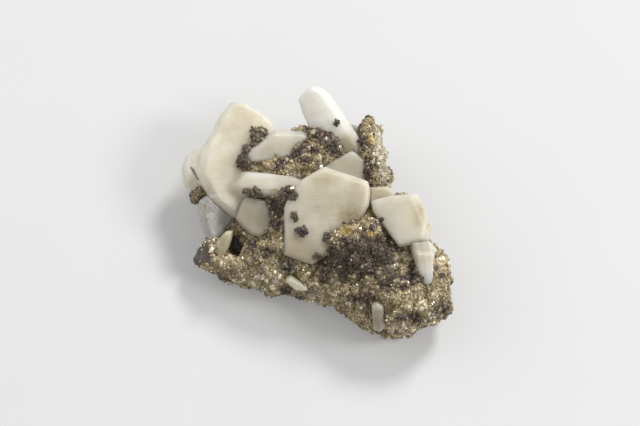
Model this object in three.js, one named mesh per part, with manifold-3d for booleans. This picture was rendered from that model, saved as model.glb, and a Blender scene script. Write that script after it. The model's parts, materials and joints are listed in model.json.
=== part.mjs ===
// A hand specimen of luzonite: a knobbly crust of small brown and brassy balls on rock, with tabular
// barite crystals grown out of it. Millimetres, +Z up, standing on the flat break under the rock.
//
// The specimen is drawn as it looks from in front and high above. "right" and "up" are distances across
// that view, from its middle, and "height" is the height above the surface that the specimen stands on.

import * as THREE from "three";
import { ConvexGeometry } from "three/addons/geometries/ConvexGeometry.js";
import { ImprovedNoise } from "three/addons/math/ImprovedNoise.js";
import { mergeVertices } from "three/addons/utils/BufferGeometryUtils.js";
import Module from "manifold-3d";

const wasm = await Module();
wasm.setup();

const VIEW_ELEVATION = THREE.MathUtils.degToRad(70);
const FACET = 2.75; // edge of the triangles of the crust
const KNOB_SPACING = 4.6; // between the larger knobs of the crust
const KNOB_RELIEF = 1.5;
const SWELL_SPACING = 11; // between the broad swellings of the rock
const SWELL_RELIEF = 1.1;
const GAP = 0.35; // between a crystal and what it is set in
const WELD = 0.02; // corners closer than this become one when solids are joined or cut
const BALL_RADIUS = [0.9, 1.6]; // smallest and largest luzonite ball
const BALL_SPACING = 4.5;
const BALLS_ON_CRUST = 38;
const BLEND = 0.8; // how widely one lump of rock runs into the next
const ROCK_BOX = new THREE.Box3(new THREE.Vector3(-46, -50, -9), new THREE.Vector3(48, 36, 36));
const BASE_SIZE = 200;

const COLOURS = {
  crust: { color: 0x6f604c, roughness: 0.45, metalness: 0.35 },
  barite: { color: 0xd9d3bd, roughness: 0.3, metalness: 0 },
  clear: { color: 0xc3c6c2, roughness: 0.1, metalness: 0 },
  luzonite: { color: 0x4b4143, roughness: 0.5, metalness: 0.3 },
};

// The view's own directions in the specimen's frame: right is +X.
const UP = new THREE.Vector3(0, Math.sin(VIEW_ELEVATION), Math.cos(VIEW_ELEVATION));
const TOWARDS = new THREE.Vector3(0, -Math.cos(VIEW_ELEVATION), Math.sin(VIEW_ELEVATION));

// Lumps of crusted rock: where each is seen, its height, its half sizes and its turn about +Z in degrees.
const LUMPS = [
  // the rock itself, standing on its flat break
  { right: -8, up: -4, height: 3, half: [23, 16, 8], turn: -15 },
  { right: 20, up: -19, height: 3, half: [16, 13, 8], turn: -20 },
  { right: 9.5, up: 8, height: 3, half: [9, 13, 8], turn: 8 },
  { right: 3, up: -8, height: 11.5, half: [21, 15.5, 12.4] },
  { right: 23.5, up: -21, height: 10.5, half: [14.5, 14, 12.5], turn: -20 },
  { right: -15.5, up: -11.5, height: 7.5, half: [16, 11.5, 9.6], turn: -10 },
  { right: 0, up: 13, height: 9.5, half: [17, 11.5, 11.5] },
  { right: -19, up: 8, height: 7.5, half: [12.5, 12.5, 9] },
  { right: 21.5, up: -4, height: 12.5, half: [8.6, 9.5, 11.5] },
  { right: 8, up: 16.5, height: 10, half: [9, 7.5, 9] },
  { right: -27, up: -4, height: 4, half: [6, 6.5, 5.6] },
  // the dark hump in front of the middle blade and the round lobe beside it
  { right: 11, up: -9.8, height: 18, half: [9.8, 9.6, 10.6], turn: 25 },
  { right: 9, up: -18, height: 14.5, half: [11, 7, 8.5], turn: -12 },
  { right: 27.4, up: -23, height: 15, half: [11.6, 10.2, 9], turn: -25 },
  { right: 31.8, up: -18, height: 11.2, half: [7.3, 9, 9] },
  { right: 19, up: -17.5, height: 17, half: [9.6, 8, 8] },
  // the front edge, from left to right
  { right: -26.5, up: -15, height: 7, half: [8, 5.6, 7], turn: -14 },
  { right: -14, up: -17.2, height: 8, half: [12.5, 6.6, 8], turn: -6 },
  { right: 1, up: -19.5, height: 9, half: [12.5, 7, 8.6], turn: -8 },
  { right: 13, up: -26, height: 10, half: [9.5, 6.7, 8.6], turn: -32 },
  { right: 22, up: -29.5, height: 10, half: [9.5, 7.3, 9] },
  { right: 31.4, up: -26.5, height: 11, half: [7.2, 6, 9], turn: 15 },
  // the crust in the hollow behind the middle blade, over the large blade's edge, and the back ridge
  { right: -14, up: 14.4, height: 16.4, half: [10.5, 4.6, 4.4], turn: -5 },
  { right: -18.5, up: 23, height: 21, half: [3.2, 3.6, 3.2], turn: 30 },
  { right: -21.6, up: 19, height: 20.8, half: [2, 2.6, 2.2] },
  { right: -22.4, up: 15.4, height: 20.6, half: [2.6, 3, 2.8] },
  { right: -3.4, up: 16.5, height: 16, half: [7.6, 5.2, 5.8], turn: 15 },
  { right: -4.6, up: 17.6, height: 17.6, half: [4, 4.2, 4.8], turn: 20 },
  { right: 0, up: 22.4, height: 18.2, half: [5.4, 3.8, 6], turn: -12 },
  { right: 3, up: 18.6, height: 17.2, half: [5, 4, 5.4] },
  { right: -4.8, up: 24.4, height: 20, half: [2.4, 2, 2.6] },
  // the crust between the side-on blade and the grey blade
  { right: -10.8, up: 2, height: 18, half: [5, 5.4, 6.6], turn: -20 },
  { right: -19, up: 5.2, height: 19.6, half: [4.6, 1.8, 2.4], turn: -6 },
  { right: -8.4, up: -7, height: 16.2, half: [5, 7, 6], turn: 20 },
  { right: -8.9, up: 5.8, height: 24.8, half: [2.6, 1.8, 3.6] },
  // the upright ledge at the back right, with dark crust down its left side
  { right: 17.2, up: 11.5, height: 12.5, half: [3.2, 7, 11.5], turn: 3 },
  { right: 16.3, up: 19, height: 13, half: [3, 7.5, 11.5], turn: 10 },
  { right: 15.5, up: 24.4, height: 13.5, half: [2.4, 4.2, 10.5], turn: 8 },
  { right: 13.6, up: 21.5, height: 19, half: [2.3, 5.6, 5] },
  { right: 14.8, up: 13.4, height: 18.6, half: [2, 6.4, 5] },
];

// A broken block of the rock with flat faces at the front left, drawn as the crystals are.
const DARK_BLOCK = {
  outline: [[-38.6, -14.9], [-34.2, -17], [-31, -15.5], [-30.6, -8], [-33.2, -6.4], [-35.4, -8], [-38.9, -13.4]],
  bevel: 1.2, height: 11, leanRight: 0.5, leanUp: -0.2, thickness: 8,
};

// The glassy hollow beside the small blade at the left.
const HOLLOW = { right: -25.2, up: -9, height: 13.5, half: [2.9, 4.9, 5.4] };

// The barite blades. An outline runs anticlockwise; a third number is that edge's own bevel width.
// leanRight and leanUp say how far the front face comes forward per millimetre right and up.
const LARGE_BLADE = {
  outline: [[-24.9, -0.6], [-21.9, 4.2], [-13, 24.4], [-14, 27.6], [-17.2, 30.6], [-22, 33.3],
    [-26.3, 33.8], [-29.4, 30.3, 1.6], [-35.4, 19, 2.2], [-36.4, 12.3, 1.8], [-32.1, 4.5]],
  bevel: 0.9, height: 19.8, leanRight: -0.16, leanUp: -0.28, thickness: 6.5,
};
const SIDE_BLADE = {
  outline: [[-33, 5], [-32, 16], [-36.5, 20], [-39.3, 17.6], [-40.6, 13.6], [-40, 9.4], [-36.6, 6.2]],
  bevel: 1.1, height: 15.2, leanRight: -0.3, leanUp: -0.2, thickness: 5,
};
const EDGE_BLADE = {
  outline: [[-25.6, 8.4], [-22.4, 6.6], [-8, 6], [-4.6, 6.8], [-4, 9.4], [-8.3, 11.2], [-15, 12.2], [-22.8, 12.6]],
  bevel: 0.9, height: 22.6, leanRight: 0.05, leanUp: -0.5, thickness: 5,
};
const MIDDLE_BLADE = {
  outline: [[-10.6, -12.2], [-5.4, -14.2], [-2.5, -15], [8.5, -8.5], [14.4, 2.5], [14.7, 7.2],
    [14.1, 9.6, 1.3], [6.7, 12.1, 1.3], [1.2, 13.9], [-5.6, 9.9], [-9.6, 4.4], [-10.6, 1.6]],
  bevel: 0.8, height: 26.4, leanRight: 0.04, leanUp: -0.1, thickness: 5.5,
};
const BACK_BLADE = {
  outline: [[1, 8], [13.6, 9.8], [13.4, 16], [9.6, 18.7], [-2.4, 12.3]],
  bevel: 0.7, height: 21.4, leanRight: 0.1, leanUp: -0.12, thickness: 4.5,
};

const CRYSTALS = {
  barite_large_blade: [LARGE_BLADE, SIDE_BLADE, EDGE_BLADE],
  barite_middle_blade: [MIDDLE_BLADE],
  barite_back_blade: [BACK_BLADE],
  barite_upper_blade: [
    {
      outline: [[6.2, 15.5], [13, 15.6], [12.8, 19.6, 1.7], [2.2, 35.4, 1.2], [-0.2, 37.2], [-2.8, 37.9],
        [-4.8, 36.6], [-6.8, 34], [-5.4, 29.7], [-3.7, 26]],
      bevel: 0.7, height: 23.4, leanRight: 0.26, leanUp: 0.1, thickness: 4.6,
    },
  ],
  barite_hollow_blade: [
    {
      outline: [[-22.3, 17.6], [-20.8, 15.2], [-9, 15.8], [-2.6, 21], [-4, 24.4, 1.4], [-12.9, 24.8], [-15.2, 23.4]],
      bevel: 0.7, height: 21.9, leanRight: -0.2, leanUp: 0, thickness: 3.2,
    },
  ],
  barite_grey_blade: [
    {
      outline: [[-24.9, -1.3], [-22.9, -3.8], [-20.3, -6.3], [-17.4, -7], [-15.1, -4.8], [-13.8, -2.4],
        [-16, 3.6], [-22, 5], [-23.4, 3]],
      bevel: 0.6, height: 19, leanRight: -0.1, leanUp: -0.12, thickness: 4.5,
    },
  ],
  barite_clear_crystal: [
    {
      outline: [[-32.8, -9.2], [-29.4, -6.6], [-26.4, -3.6], [-24.8, -1], [-28.4, 3.6], [-31.8, 6.3],
        [-35.6, 3.3], [-36, 0.4], [-34.4, -5]],
      bevel: 1.3, height: 15, leanRight: -0.22, leanUp: 0.1, thickness: 5,
    },
  ],
  barite_left_blade: [
    {
      outline: [[-32.3, -12.6], [-28.8, -12.7], [-27.4, -8.4], [-27, -5.8], [-28.6, -6], [-31.4, -8.8], [-32.8, -10.6]],
      bevel: 0.5, height: 13.2, leanRight: 0.45, leanUp: 0.3, thickness: 3,
    },
  ],
  barite_square_blade: [
    {
      outline: [[18.4, -1.8], [23.3, -9.7], [31.9, -7.8, 1.9], [32.6, -3.6, 1.9], [28.6, 5.9], [21, 5.4],
        [14.9, 3.9], [15.5, 0.6]],
      bevel: 0.6, height: 27.4, leanRight: 0.2, leanUp: -0.16, thickness: 4.6,
    },
  ],
  barite_stepped_blade: [
    {
      outline: [[28.6, -13.8], [33.7, -15.4], [34.6, -10.8], [32.2, -8], [27.8, -8.9]],
      bevel: 0.5, height: 25, leanRight: -0.25, leanUp: 0.1, thickness: 5,
    },
    {
      outline: [[29.8, -17], [31.3, -21.6], [33.4, -21], [33.8, -12], [29, -12]],
      bevel: 0.4, height: 25.3, leanRight: -0.25, leanUp: 0.2, thickness: 6,
    },
  ],
  barite_front_prism: [
    {
      outline: [[16.2, -35.2], [17.8, -35.7], [19.4, -34.6], [18.8, -28], [16.8, -27.5], [15.7, -28.2]],
      bevel: 0.6, height: 16.8, leanRight: -0.12, leanUp: 0.5, thickness: 3.6,
    },
  ],
  barite_front_chip: [
    {
      outline: [[-10.1, -20.6], [-7, -23.3], [-4.2, -23.4], [-3.6, -22.6], [-8.8, -19.4]],
      bevel: 0.4, height: 15.2, leanRight: -0.1, leanUp: 0.5, thickness: 3,
    },
  ],
  barite_foot_blade: [
    {
      outline: [[14.6, 3], [22.4, 4], [22.2, 6.2], [20.6, 8], [14.8, 7.6]],
      bevel: 0.5, height: 23.2, leanRight: -0.3, leanUp: -0.1, thickness: 3,
    },
  ],
  barite_back_tip: [
    {
      outline: [[10.6, 23.8], [12.6, 23], [12.4, 25.8], [9.7, 26.3]],
      bevel: 0.3, height: 17.6, leanRight: -0.4, leanUp: 0.2, thickness: 2.4,
    },
  ],
};

// Luzonite balls that sit on the crystals: each is seen at [right, up, height] and has its own radius.
const CLUMPS = {
  luzonite_left_clump: [[-37.4, 4.6, 13.6, 1.9], [-35.7, 6, 14.2, 2.1], [-36.3, 8, 13.4, 1.6], [-38.3, 5.4, 12.6, 1.4],
    [-34.6, 4.6, 14.6, 1.4]],
  luzonite_upper_ball: [[4.9, 27.1, 24.4, 1.05]],
  luzonite_middle_pair: [[-7.7, -0.5, 26.6, 1.1], [-7.3, -2.1, 26.2, 1]],
  luzonite_middle_cluster: [[-6.6, -5.2, 25.4, 1.2], [-5, -4.9, 25.6, 1.15], [-4, -6, 25.2, 0.9], [-5.4, -6.1, 25.1, 1]],
};

// A repeatable run of numbers from 0 to 1.
function randomRun(seed) {
  let state = seed;
  return () => {
    state = (state + 0x6d2b79f5) | 0;
    let mixed = Math.imul(state ^ (state >>> 15), 1 | state);
    mixed = (mixed + Math.imul(mixed ^ (mixed >>> 7), 61 | mixed)) ^ mixed;
    return ((mixed ^ (mixed >>> 14)) >>> 0) / 4294967296;
  };
}

// The place that is seen at right, up and lies at that height.
function place(right, up, height) {
  const back = (up - height * Math.cos(VIEW_ELEVATION)) / Math.sin(VIEW_ELEVATION);
  return new THREE.Vector3(right, back, height);
}

function solidOf(geometry) {
  const bare = geometry.index ? geometry.toNonIndexed() : geometry.clone();
  bare.deleteAttribute("normal");
  bare.deleteAttribute("uv");
  const merged = mergeVertices(bare, 1e-4);
  return new wasm.Manifold(
    new wasm.Mesh({
      numProp: 3,
      vertProperties: merged.getAttribute("position").array,
      triVerts: new Uint32Array(merged.index.array),
      tolerance: WELD,
    }),
  );
}

function geometryOf(solid) {
  const { vertProperties, triVerts } = solid.getMesh();
  const geometry = new THREE.BufferGeometry();
  geometry.setAttribute("position", new THREE.BufferAttribute(vertProperties, 3));
  geometry.setIndex(new THREE.BufferAttribute(triVerts, 1));
  geometry.computeVertexNormals();
  return geometry;
}

function joined(solids) {
  return solids.reduce((whole, solid) => whole.add(solid));
}

// The outline with each edge moved in by the distance of its first corner.
function inset(outline, distances) {
  const lines = outline.map((corner, i) => {
    const next = outline[(i + 1) % outline.length];
    const along = new THREE.Vector2(next[0] - corner[0], next[1] - corner[1]).normalize();
    const inward = new THREE.Vector2(-along.y, along.x);
    const start = new THREE.Vector2(corner[0], corner[1]).addScaledVector(inward, distances[i]);
    return { along, start };
  });
  return lines.map((line, i) => {
    const before = lines.at(i - 1);
    const reach = line.start.clone().sub(before.start).cross(line.along) / before.along.cross(line.along);
    return before.start.clone().addScaledVector(before.along, reach);
  });
}

// A tabular crystal: a front face, a bevel all round, a rim, and the same at the back.
function bladeGeometry(blade, grow = 0) {
  const { outline, bevel, height, leanRight, leanUp, thickness } = blade;
  const middle = outline.reduce((sum, [right, up]) => sum.add(new THREE.Vector2(right, up)), new THREE.Vector2());
  middle.divideScalar(outline.length);
  const centre = place(middle.x, middle.y, height);
  const normal = TOWARDS.clone().addScaledVector(UP, -leanUp);
  normal.x -= leanRight;
  normal.normalize();

  const ring = (distances, depth) =>
    inset(outline, distances).map((corner) => {
      const right = corner.x - middle.x;
      const up = corner.y - middle.y;
      const point = centre.clone().addScaledVector(UP, up);
      point.addScaledVector(TOWARDS, leanRight * right + leanUp * up);
      point.x += right;
      return point.addScaledVector(normal, -depth);
    });
  const faceInset = outline.map(([, , own]) => (own ?? bevel) - grow);
  const rimInset = outline.map(() => -grow);
  const shoulder = Math.min(0.42 * thickness, Math.max(...faceInset) + grow);
  return new ConvexGeometry([
    ...ring(faceInset, -grow),
    ...ring(rimInset, shoulder - grow),
    ...ring(rimInset, thickness - shoulder + grow),
    ...ring(faceInset, thickness + grow),
  ]);
}

const noise = new ImprovedNoise();

// A number from 0 to 1 that belongs to a cell of a grid.
function cellNumber(i, j, k, which) {
  const wave = Math.sin(i * 127.1 + j * 311.7 + k * 74.7 + which * 53.3) * 43758.5453;
  return wave - Math.floor(wave);
}

// How much of a knob stands at a point: 1 at a knob's top, 0 between knobs.
function knobAt(point) {
  const [x, y, z] = point.toArray().map((value) => value / KNOB_SPACING);
  let nearest = 9;
  for (let i = Math.floor(x) - 1; i <= Math.floor(x) + 1; i++)
    for (let j = Math.floor(y) - 1; j <= Math.floor(y) + 1; j++)
      for (let k = Math.floor(z) - 1; k <= Math.floor(z) + 1; k++) {
        const dx = i + cellNumber(i, j, k, 0) - x;
        const dy = j + cellNumber(i, j, k, 1) - y;
        const dz = k + cellNumber(i, j, k, 2) - z;
        nearest = Math.min(nearest, dx * dx + dy * dy + dz * dz);
      }
  return Math.max(0, 1 - 2.2 * nearest);
}

function relief(point) {
  const swell = noise.noise(point.x / SWELL_SPACING, point.y / SWELL_SPACING, point.z / SWELL_SPACING + 3.7);
  return SWELL_RELIEF * 2 * swell + KNOB_RELIEF * (knobAt(point) - 0.45);
}

// How far a point is outside a lump's plain surface; inside it the distance is below nothing.
function distanceToLump(point, { right, up, height, half, turn = 0 }) {
  const from = point.clone().sub(place(right, up, height));
  from.applyAxisAngle(new THREE.Vector3(0, 0, 1), -THREE.MathUtils.degToRad(turn));
  const scaled = from.divide(new THREE.Vector3(...half));
  const near = scaled.length();
  const steepness = scaled.divide(new THREE.Vector3(...half)).length();
  return (near * (near - 1)) / Math.max(steepness, 1e-9);
}

// The same for the whole rock: the lumps run into each other, and the knobs of the crust stand on them.
function distanceToRock(point) {
  const nearness = LUMPS.reduce((sum, lump) => sum + Math.exp(-distanceToLump(point, lump) / BLEND), 1e-30);
  return Math.max(-BLEND * Math.log(nearness) - relief(point), -distanceToLump(point, HOLLOW));
}

// The way out of the rock at a point, as long as the distance changes per millimetre.
function wayOut(point) {
  const along = (x, y, z) => {
    const offset = new THREE.Vector3(x, y, z).multiplyScalar(0.25);
    return 2 * (distanceToRock(point.clone().add(offset)) - distanceToRock(point.clone().sub(offset)));
  };
  return new THREE.Vector3(along(1, 0, 0), along(0, 1, 0), along(0, 0, 1));
}

const AXES = [new THREE.Vector3(1, 0, 0), new THREE.Vector3(0, 1, 0), new THREE.Vector3(0, 0, 1)];

// A grid over the rock's box that holds the distance to the rock at each of its corners.
class RockGrid {
  constructor() {
    this.size = ROCK_BOX.getSize(new THREE.Vector3()).divideScalar(FACET).ceil();
    this.cells = [];
    this.distances = new Map();
    for (let x = 1; x < this.size.x; x++)
      for (let y = 1; y < this.size.y; y++)
        for (let z = 1; z < this.size.z; z++) this.cells.push(new THREE.Vector3(x, y, z));
    while (this.fillPinches() > 0);
  }

  corner(cell) {
    return cell.clone().multiplyScalar(FACET).add(ROCK_BOX.min);
  }

  key(cell) {
    return (cell.z * (this.size.y + 2) + cell.y) * (this.size.x + 2) + cell.x;
  }

  distance(cell) {
    const key = this.key(cell);
    if (!this.distances.has(key)) this.distances.set(key, distanceToRock(this.corner(cell)));
    return this.distances.get(key);
  }

  // Fills in corners where two parts of the rock would touch along a single edge.
  fillPinches() {
    let filled = 0;
    for (const cell of this.cells)
      for (let i = 0; i < 3; i++) {
        const beside = cell.clone().add(AXES[i]);
        const above = cell.clone().add(AXES[(i + 1) % 3]);
        const across = beside.clone().add(AXES[(i + 1) % 3]);
        const [a, b, c, d] = [cell, beside, across, above].map((each) => this.distance(each) < 0);
        if (a !== c || b !== d || a === b) continue;
        const [first, second] = a ? [beside, above] : [cell, across];
        const nearer = this.distance(first) < this.distance(second) ? first : second;
        this.distances.set(this.key(nearer), -0.2);
        filled += 1;
      }
    return filled;
  }
}

// The rock's surface, with a vertex in each cell of the grid that it passes through.
function rockGeometry() {
  const grid = new RockGrid();
  // Where each edge of the grid crosses the surface, gathered for the four cells round that edge.
  const crossings = new Map();
  const quads = [];
  for (const cell of grid.cells)
    for (const [i, axis] of AXES.entries()) {
      const here = grid.distance(cell);
      const there = grid.distance(cell.clone().add(axis));
      if (here < 0 === there < 0) continue;
      const crossing = grid.corner(cell).addScaledVector(axis, (FACET * here) / (here - there));
      const back = AXES[(i + 1) % 3];
      const down = AXES[(i + 2) % 3];
      const round = [cell, cell.clone().sub(back), cell.clone().sub(back).sub(down), cell.clone().sub(down)];
      const keys = round.map((each) => grid.key(each));
      for (const key of keys) crossings.set(key, [...(crossings.get(key) ?? []), crossing]);
      quads.push(here < 0 ? keys : keys.reverse());
    }

  const vertices = new Map();
  for (const [key, points] of crossings) {
    const point = points.reduce((sum, each) => sum.add(each), new THREE.Vector3()).divideScalar(points.length);
    for (let step = 0; step < 3; step++) {
      const out = wayOut(point);
      const back = THREE.MathUtils.clamp(distanceToRock(point) / out.lengthSq(), -0.4, 0.4);
      point.addScaledVector(out, -back);
    }
    vertices.set(key, point);
  }
  const positions = quads.flatMap((quad) => {
    const [a, b, c, d] = quad.map((key) => vertices.get(key));
    const halves = a.distanceTo(c) < b.distanceTo(d) ? [a, b, c, a, c, d] : [a, b, d, b, c, d];
    return halves.flatMap((point) => point.toArray());
  });
  return new THREE.BufferGeometry().setAttribute("position", new THREE.Float32BufferAttribute(positions, 3));
}

function ballSolid(centre, radius, detail) {
  const geometry = new THREE.IcosahedronGeometry(radius, detail);
  geometry.rotateX(centre.x).rotateY(centre.z);
  geometry.translate(centre.x, centre.y, centre.z);
  return solidOf(geometry);
}

// Single balls of luzonite that stand out of the crust, spread over its open surface.
function crustBalls(surface, taken) {
  const random = randomRun(7);
  const corners = surface.getAttribute("position");
  const centres = [];
  const balls = [];
  for (let tries = 0; balls.length < BALLS_ON_CRUST && tries < 3000; tries++) {
    const point = new THREE.Vector3().fromBufferAttribute(corners, Math.floor(random() * corners.count));
    const radius = THREE.MathUtils.lerp(...BALL_RADIUS, random());
    if (point.z < 2.5 || centres.some((other) => other.distanceTo(point) < BALL_SPACING)) continue;
    const ball = ballSolid(point.clone().addScaledVector(wayOut(point).normalize(), 0.15 * radius), radius, 0);
    if (!ball.intersect(taken).isEmpty()) continue;
    centres.push(point);
    balls.push(ball);
  }
  return balls;
}

function largestPiece(solid) {
  return solid.decompose().sort((a, b) => b.volume() - a.volume())[0];
}

function belowFloor() {
  const block = new THREE.BoxGeometry(BASE_SIZE, BASE_SIZE, BASE_SIZE);
  return solidOf(block.translate(0, 0, -BASE_SIZE / 2));
}

function meshOf(name, solid, look) {
  const mesh = new THREE.Mesh(geometryOf(solid), new THREE.MeshStandardMaterial(COLOURS[look]));
  mesh.name = name;
  return mesh;
}

const specimen = new THREE.Group();

// Each crystal grew against the ones before it in the list.
const sockets = [];
for (const [name, blades] of Object.entries(CRYSTALS)) {
  const whole = joined(blades.map((blade) => solidOf(bladeGeometry(blade))));
  const crystal = largestPiece(sockets.reduce((rest, socket) => rest.subtract(socket), whole));
  sockets.push(joined(blades.map((blade) => solidOf(bladeGeometry(blade, GAP)))));
  specimen.add(meshOf(name, crystal, name === "barite_clear_crystal" ? "clear" : "barite"));
}
const allSockets = joined(sockets);

const surface = rockGeometry();
const rock = joined([solidOf(surface), solidOf(bladeGeometry(DARK_BLOCK)), ...crustBalls(surface, allSockets)]);
const crust = rock.subtract(belowFloor()).subtract(allSockets);
specimen.add(meshOf("luzonite_crusted_rock", largestPiece(crust), "crust"));

for (const [name, balls] of Object.entries(CLUMPS)) {
  const clump = joined(balls.map(([right, up, height, radius]) => ballSolid(place(right, up, height), radius, radius > 1.8 ? 1 : 0)));
  specimen.add(meshOf(name, largestPiece(clump.subtract(allSockets)), "luzonite"));
}

// The origin is the middle of the specimen's box, at its foot.
const box = new THREE.Box3().setFromObject(specimen);
const middle = box.getCenter(new THREE.Vector3());
specimen.position.set(-middle.x, -middle.y, -box.min.z);

export default specimen;
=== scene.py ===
"""A luzonite specimen: pale barite blades standing in a rock crusted with tiny luzonite and sulphide grains.

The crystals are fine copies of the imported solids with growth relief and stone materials. The crust is a fine
copy of the rock's solid with knobs and grit, and many thousand small grains lie on it.
"""

import json
import math
from typing import NamedTuple

import bmesh
import bpy
import numpy as np
from mathutils import Matrix, Vector
from mathutils.bvhtree import BVHTree

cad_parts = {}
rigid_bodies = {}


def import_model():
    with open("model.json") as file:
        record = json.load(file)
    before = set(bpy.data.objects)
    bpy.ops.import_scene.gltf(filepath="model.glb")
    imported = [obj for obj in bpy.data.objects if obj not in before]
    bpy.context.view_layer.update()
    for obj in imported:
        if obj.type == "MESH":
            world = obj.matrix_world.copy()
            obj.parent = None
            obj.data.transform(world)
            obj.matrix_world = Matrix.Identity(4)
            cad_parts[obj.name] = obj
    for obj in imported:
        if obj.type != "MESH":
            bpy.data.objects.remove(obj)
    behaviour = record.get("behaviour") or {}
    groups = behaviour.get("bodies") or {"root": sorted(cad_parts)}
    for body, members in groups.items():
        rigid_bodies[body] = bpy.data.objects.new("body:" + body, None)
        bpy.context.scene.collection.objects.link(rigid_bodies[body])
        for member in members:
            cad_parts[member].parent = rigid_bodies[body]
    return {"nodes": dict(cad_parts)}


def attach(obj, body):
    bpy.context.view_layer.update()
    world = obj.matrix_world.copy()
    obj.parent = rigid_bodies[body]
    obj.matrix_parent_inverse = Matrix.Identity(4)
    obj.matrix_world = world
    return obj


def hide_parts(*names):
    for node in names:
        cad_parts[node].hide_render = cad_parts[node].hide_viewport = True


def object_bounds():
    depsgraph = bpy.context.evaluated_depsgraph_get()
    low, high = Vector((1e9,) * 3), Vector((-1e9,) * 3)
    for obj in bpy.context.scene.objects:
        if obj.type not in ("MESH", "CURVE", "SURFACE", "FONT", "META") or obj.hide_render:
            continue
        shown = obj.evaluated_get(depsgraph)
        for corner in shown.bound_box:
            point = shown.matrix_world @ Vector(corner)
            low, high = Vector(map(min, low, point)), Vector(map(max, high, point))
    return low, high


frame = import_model()
CAD_LOW, CAD_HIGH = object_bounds()

MM = 0.001
BODY = "root"
ROCK_NODE = "luzonite_crusted_rock"
CLUMP_NODES = (
    "luzonite_left_clump",
    "luzonite_upper_ball",
    "luzonite_middle_pair",
    "luzonite_middle_cluster",
)
CRYSTAL_PREFIX = "barite_"
# Smoothing rounds of the crust, of a plain crystal and of the crystals whose edges are softer
CRUST_ROUNDS = 3
PLAIN_ROUNDS = 2
SOFT_ROUNDS = {
    "barite_large_blade": 12,
    "barite_middle_blade": 5,
    "barite_square_blade": 4,
    "barite_stepped_blade": 2,
    "barite_upper_blade": 4,
}
GROOVED_NODE = "barite_large_blade"
# The looks of the crystals, by their names in BARITE_LOOKS
PLAIN_LOOK = "milky barite"
NODE_LOOKS = {
    "barite_clear_crystal": "clear barite",
    # The greyish blades are painted darker for shade, and the upper blade lighter for light shining through it
    "barite_front_prism": "greyish barite",
    "barite_back_tip": "greyish barite",
    "barite_grey_blade": "greyish barite",
    "barite_upper_blade": "white barite",
    "barite_left_blade": "creamy barite",
    "barite_front_chip": "creamy barite",
}

# The photograph looks down on the specimen at this angle, from straight in front of it
VIEW_ELEVATION = math.radians(70)
# How wide the view is, and how high along it above the floor's middle that is measured
VIEW_WIDTH = 192 * MM
VIEW_DEPTH = 18 * MM
# The lens and the film's width in millimetres
LENS = 300
SENSOR = 36
# How far above the floor's middle a look along the view starts, in millimetres
VIEW_START = 100
# The view's own directions in the frame
RIGHT = np.array((1, 0, 0))
UP = np.array((0, math.sin(VIEW_ELEVATION), math.cos(VIEW_ELEVATION)))
TOWARDS = np.array((0, -math.cos(VIEW_ELEVATION), math.sin(VIEW_ELEVATION)))
# Where the middle of the photograph meets the floor, in millimetres of the frame
MIDDLE = np.array((0.739, 5.731, 0))

# The crystals' relief, with its lengths in millimetres
CRYSTAL_MESH = 0.3
# How much larger a crystal is than its solid
CRYSTAL_GROWTH = 0.19
CRYSTAL_WAVE = 0.06
CRYSTAL_WAVE_SPACING = 1.8
TERRACE_SPACING = 6.5
TERRACE_STEPS = 7
TERRACE_RELIEF = 0.12
LAYER_THICKNESS = 0.9
LAYER_RELIEF = 0.3
LAYER_BEND = 0.6
LAYER_BEND_SPACING = 6
# How far a surface turns from the flat faces before its layers show
LAYER_SIDE_START = 0.8
LAYER_SIDE_SPAN = 0.3
# The swelling that fills the grooved crystal's grooves
GROOVE_SWELL = 1.6
CRACK_WIDTH = 0.32
CRACK_DEPTH = 0.5
# Where the crack's dirt ends, in its widths
CRACK_REACH = 1.3
DIRT_FINE_SPACING = 0.45
DIRT_COARSE_SPACING = 1.6
DIRT_COARSE_STRENGTH = 0.4
DIRT_RANGE = (0.55, 1.1)

# The relief of the rock and the clumps, with its lengths in millimetres
ROCK_MESH = 0.42
CLUMP_MESH = 0.3
KNOB_SPACING = 1.5
KNOB_RELIEF = 0.34
KNOB_MIDDLE = 0.55
GRIT_SPACING = 0.7
GRIT_RELIEF = 0.1
LUMP_SPACING = 3.6
LUMP_RELIEF = 0.75
SLATE_EVENNESS = 0.85
# How far from the crystals the relief starts, how much farther it is whole, and how the crust rises to them
CRYSTAL_MARGIN = 0.2
CRYSTAL_CLEARANCE = 0.6
SEAM_FILL = 0.12
UNDERSIDE_HEIGHT = 0.3
UNDERSIDE_FACING = -0.7
UNDERSIDE_SINK = 0.7
# A crystal this close over the rock, seen from just above its surface, covers it
COVER_START = 0.02
COVER_REACH = 1.2

# The looks of the grains
GRAIN_LOOK = "sulphide grains"
BALL_LOOK = "luzonite balls"
# The grains scattered on the rock: their spacing in millimetres and the seed of their places
SCATTERED_GRAINS = (
    ("brassy_flakes", 1.05, 111),
    ("brassy_grains", 0.62, 101),
    ("large_balls", 1.45, 202),
    ("small_balls", 0.72, 303),
)
# How high over the floor the scattered and the other grains start, in millimetres
LOWEST_SCATTERED = 0.35
LOWEST_ADDED = 1
# The balls on the clumps and in the heaps, in millimetres
CLUMP_DARKNESS = (0.45, 1)
CLUMP_BALL_SPACING = 0.72
HEAP_BALL_SPACING = 0.62
HEAP_HEIGHT = 1.5
# Grains that creep over the crystals' edges: how far up, the share of places that are tried, the spacing and
# the start of the noise that chooses among them, the grains' spacing, and the share of brassy ones
CREEP_REACH = 0.75
CREEP_SHARE = 0.3
CREEP_PATCH = 2.2
CREEP_START = 0.45
CREEP_SPACING = 0.6
BRASSY_CREEPING = 0.5
# How many places are tried for each one that fits, and how much commoner small grains are than large ones
SCATTER_TRIES = 2.2
SIZE_SKEW = 1.6
# How far a grain's corners can be from its middle, and how far its middle stays out of the crystals, in radii
GRAIN_REACH = 1.15
GRAIN_CLEARANCE = 0.25
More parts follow.
